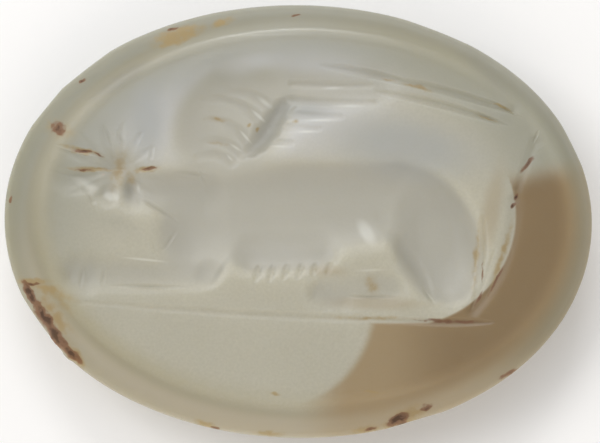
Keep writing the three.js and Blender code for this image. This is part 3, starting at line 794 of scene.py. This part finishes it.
def makeChalcedony():
    # the mottled body, then the layers one over another, each by a smooth step of its mask
    material, tree = newMaterial("polished chalcedony")
    place = addNode(tree, "TexCoord").outputs["Object"]
    noise = {}
    for name, detail in (("cloudMm", 2), ("grainMm", 2), ("wanderMm", 1), ("patchMm", 2)):
        values = {"Scale": 1 / (chalcedony[name] * mm), "Detail": detail}
        noise[name] = addNode(tree, "TexNoise", values=values, links={"Vector": place}).outputs
    mask = {name: addNode(tree, "Attribute", {"attribute_name": name}).outputs["Fac"]
            for name in ("hollowShare", "worked", "upper", "paintedSheen", "brown", "brownHeart",
                         "rimShade", "rimBand", "bevelShade", "rimGlow", "rimOuter", "rimTan")}
    wander = addNode(tree, "VectorMath", {"operation": "SUBTRACT"}, {1: (0.5, 0.5, 0.5)},
                     {0: noise["wanderMm"]["Color"]}).outputs[0]
    strayed = addNode(tree, "VectorMath", {"operation": "MULTIPLY_ADD"},
                      {1: (chalcedony["strayMm"] * mm,) * 3}, {0: wander, 2: place}).outputs[0]
    patchy = addNode(tree, "MapRange", values={
        "From Min": chalcedony["patchFrom"][0], "From Max": chalcedony["patchFrom"][1],
        "To Min": chalcedony["patchTo"][0], "To Max": chalcedony["patchTo"][1],
    }, links={"Value": noise["patchMm"]["Fac"]}).outputs["Result"]
    for name, ellipses in marks.items():
        stain = name in ("rust", "ochre")
        spread = addMarks(tree, strayed if stain else place, ellipses)
        for factor in (mask["upper"], patchy) if stain else (mask["upper"],):
            spread = addNode(tree, "Math", {"operation": "MULTIPLY"}, links={0: spread, 1: factor}).outputs[0]
        mask[name] = spread
    mottle = addNode(tree, "Mix", values={0: chalcedony["mottle"]},
                     links={2: noise["cloudMm"]["Fac"], 3: noise["grainMm"]["Fac"]}).outputs[0]
    colour = addNode(tree, "Mix", {"data_type": "RGBA"},
                     {6: linearColour(chalcedony["body"]), 7: linearColour(chalcedony["bodyDeep"])},
                     {0: mottle}).outputs[2]
    for source, low, high, strength, name in layers:
        share = addNode(tree, "MapRange", {"interpolation_type": "SMOOTHSTEP"},
                        {"From Min": low, "From Max": high, "To Min": 0, "To Max": strength},
                        {"Value": mask[source]}).outputs["Result"]
        colour = addNode(tree, "Mix", {"data_type": "RGBA"}, {7: linearColour(chalcedony[name])},
                         {0: share, 6: colour}).outputs[2]
    dull = addNode(tree, "MapRange", values={
        "To Min": chalcedony["polishRoughness"], "To Max": chalcedony["hollowRoughness"],
    }, links={"Value": mask["worked"]}).outputs["Result"]
    roughness = addNode(tree, "Mix", values={3: chalcedony["rustRoughness"]},
                        links={0: mask["rust"], 2: dull}).outputs[0]
    dig = -chalcedony["hairMm"] / chalcedony["bumpMm"]
    relief = addNode(tree, "Math", {"operation": "MULTIPLY_ADD"}, {1: dig},
                     {0: mask["dirtAndShadeLines"], 2: noise["grainMm"]["Fac"]}).outputs[0]
    bump = addNode(tree, "Bump", values={"Distance": chalcedony["bumpMm"] * mm},
                   links={"Height": relief}).outputs["Normal"]
    shader = addNode(tree, "BsdfPrincipled", values={
        "IOR": chalcedony["ior"], "Subsurface Weight": chalcedony["soak"],
        "Subsurface Radius": chalcedony["soakMm"], "Subsurface Scale": mm,
    }, links={"Base Color": colour, "Roughness": roughness, "Normal": bump})
    addNode(tree, "OutputMaterial", links={"Surface": shader.outputs["BSDF"]})
    return material


gem = buildGem()
gem.data.materials.append(makeChalcedony())
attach(gem, "root")
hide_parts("gem")
print("gem built:", len(gem.data.polygons), "faces")


# studio

studio = {
    "floorHex": "fcfbfa",
    "floorRoughness": 0.9,
    "floorMm": 400,
    "lensMm": 150,
    "photoTilt": 0.87,        # degrees by which the stone's length is turned in the picture
    "centreShift": (0.07, 0),  # mm, from the stone's middle to the picture's
    "pictureMm": 22.45,       # across the whole picture
    "skyStrength": 0.55,
}


def buildFloor():
    # one square under the stone, at height 0
    half = studio["floorMm"] * mm / 2
    corners = np.array([(-1, -1), (1, -1), (1, 1), (-1, 1)]) * half
    mesh = bpy.data.meshes.new("floor")
    mesh.from_pydata([(x, y, 0) for x, y in corners.tolist()], [], [(0, 1, 2, 3)])
    floor = bpy.data.objects.new("floor", mesh)
    bpy.context.scene.collection.objects.link(floor)
    material, tree = newMaterial("matt board")
    shader = addNode(tree, "BsdfPrincipled", values={
        "Base Color": linearColour(studio["floorHex"]), "Roughness": studio["floorRoughness"],
    })
    addNode(tree, "OutputMaterial", links={"Surface": shader.outputs["BSDF"]})
    mesh.materials.append(material)


lamps = [                     # name, place in mm, size in mm, watts, colour
    ("topBox", (-40, 130, 290), (170, 160), 0.11, "f2f6ff"),
    ("topStrip", (-20, 185, 185), (90, 45), 0.12, "ffffff"),
    ("leftWindow", (-170, 100, 240), (150, 150), 0.26, "ffffff"),
    ("lowFill", (30, -190, 250), (240, 160), 0.11, "fff0d8"),
]


def buildLamps():
    # each looks at the frame's origin from its place
    for name, place, size, watts, colour in lamps:
        light = bpy.data.lights.new(name, "AREA")
        light.shape = "RECTANGLE"
        light.size, light.size_y = size[0] * mm, size[1] * mm
        light.energy = watts
        light.color = linearColour(colour)[:3]
        lamp = bpy.data.objects.new(name, light)
        lamp.location = [value * mm for value in place]
        lamp.rotation_mode = "QUATERNION"
        lamp.rotation_quaternion = lamp.location.to_track_quat("Z", "Y")
        bpy.context.scene.collection.objects.link(lamp)


def buildSky():
    # even white light from everywhere
    world = bpy.data.worlds.new("studio")
    world.use_nodes = True
    world.node_tree.nodes["Background"].inputs["Color"].default_value = linearColour("ffffff")
    world.node_tree.nodes["Background"].inputs["Strength"].default_value = studio["skyStrength"]
    bpy.context.scene.world = world


def buildCamera():
    # it looks straight down; its distance is picture width times lens over sensor, from the girdle's top
    camera = bpy.data.cameras.new("camera")
    camera.lens = studio["lensMm"]
    camera.clip_start = mm
    girdle = stoneThickness - stone["faceDome"] - stone["bevelDrop"]
    away = studio["pictureMm"] * studio["lensMm"] / camera.sensor_width
    holder = bpy.data.objects.new("camera", camera)
    holder.location = (studio["centreShift"][0] * mm, studio["centreShift"][1] * mm, (girdle + away) * mm)
    holder.rotation_euler = (0, 0, math.radians(studio["photoTilt"]))
    bpy.context.scene.collection.objects.link(holder)
    bpy.context.scene.camera = holder


buildFloor()
buildLamps()
buildSky()
buildCamera()
bpy.context.scene.view_settings.view_transform = "Standard"
print("studio ready")
